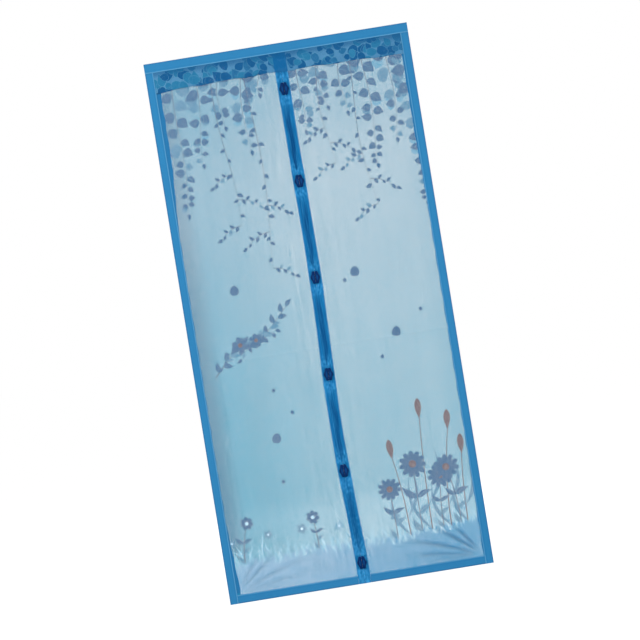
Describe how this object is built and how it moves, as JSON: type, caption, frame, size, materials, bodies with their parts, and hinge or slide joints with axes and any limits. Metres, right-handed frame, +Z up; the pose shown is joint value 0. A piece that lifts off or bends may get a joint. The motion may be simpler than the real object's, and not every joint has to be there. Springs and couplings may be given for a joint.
{
  "type": "magnetic insect screen",
  "caption": "Hanging doorway screen of two sheer blue mesh panels with woven borders, closed down the middle by butterfly-shaped magnetic buttons and hidden magnet strips.",
  "frame": {"origin": "centre of the back face of the top loop tape, where the screen is fixed to the head of the door frame", "axes": "+Z up, +X across the doorway to the right as seen from the front, +Y out of the back towards the door frame, so the front faces -Y"},
  "size_m": [1.023, 0.0133, 2.1],
  "materials": {
    "binding": "matt woven binding tape, mid blue",
    "mesh": "sheer knitted mesh, light blue, printed",
    "header": "printed mesh folded double, deep blue",
    "ribbon": "sheer ribbon, strong blue, slight sheen",
    "button": "moulded plastic, navy",
    "magnet": "sintered ferrite, dark grey",
    "strip": "flexible magnet rubber, black",
    "loop_tape": "looped pile tape, blue"
  },
  "bodies": {
    "root": {"border_top": "binding", "border_left": "binding", "border_right": "binding", "border_bottom_left": "binding", "border_bottom_right": "binding", "mesh_panel_left": "mesh", "mesh_panel_right": "mesh", "header_band": "header", "centre_hem_left": "ribbon", "centre_hem_right": "ribbon", "magnet_strip_1_left": "strip", "magnet_strip_1_right": "strip", "magnet_strip_2_left": "strip", "magnet_strip_2_right": "strip", "magnet_strip_3_left": "strip", "magnet_strip_3_right": "strip", "magnet_strip_4_left": "strip", "magnet_strip_4_right": "strip", "magnet_strip_5_left": "strip", "magnet_strip_5_right": "strip", "button_1_wing_left": "button", "button_1_wing_right": "button", "button_1_magnet_left": "magnet", "button_1_magnet_right": "magnet", "button_1_plate_left": "button", "button_1_plate_right": "button", "button_2_wing_left": "button", "button_2_wing_right": "button", "button_2_magnet_left": "magnet", "button_2_magnet_right": "magnet", "button_2_plate_left": "button", "button_2_plate_right": "button", "button_3_wing_left": "button", "button_3_wing_right": "button", "button_3_magnet_left": "magnet", "button_3_magnet_right": "magnet", "button_3_plate_left": "button", "button_3_plate_right": "button", "button_4_wing_left": "button", "button_4_wing_right": "button", "button_4_magnet_left": "magnet", "button_4_magnet_right": "magnet", "button_4_plate_left": "button", "button_4_plate_right": "button", "button_5_wing_left": "button", "button_5_wing_right": "button", "button_5_magnet_left": "magnet", "button_5_magnet_right": "magnet", "button_5_plate_left": "button", "button_5_plate_right": "button", "button_6_wing_left": "button", "button_6_wing_right": "button", "button_6_magnet_left": "magnet", "button_6_magnet_right": "magnet", "button_6_plate_left": "button", "button_6_plate_right": "button", "loop_tape_top": "loop_tape", "loop_tape_left": "loop_tape", "loop_tape_right": "loop_tape"}
  },
  "joints": []
}
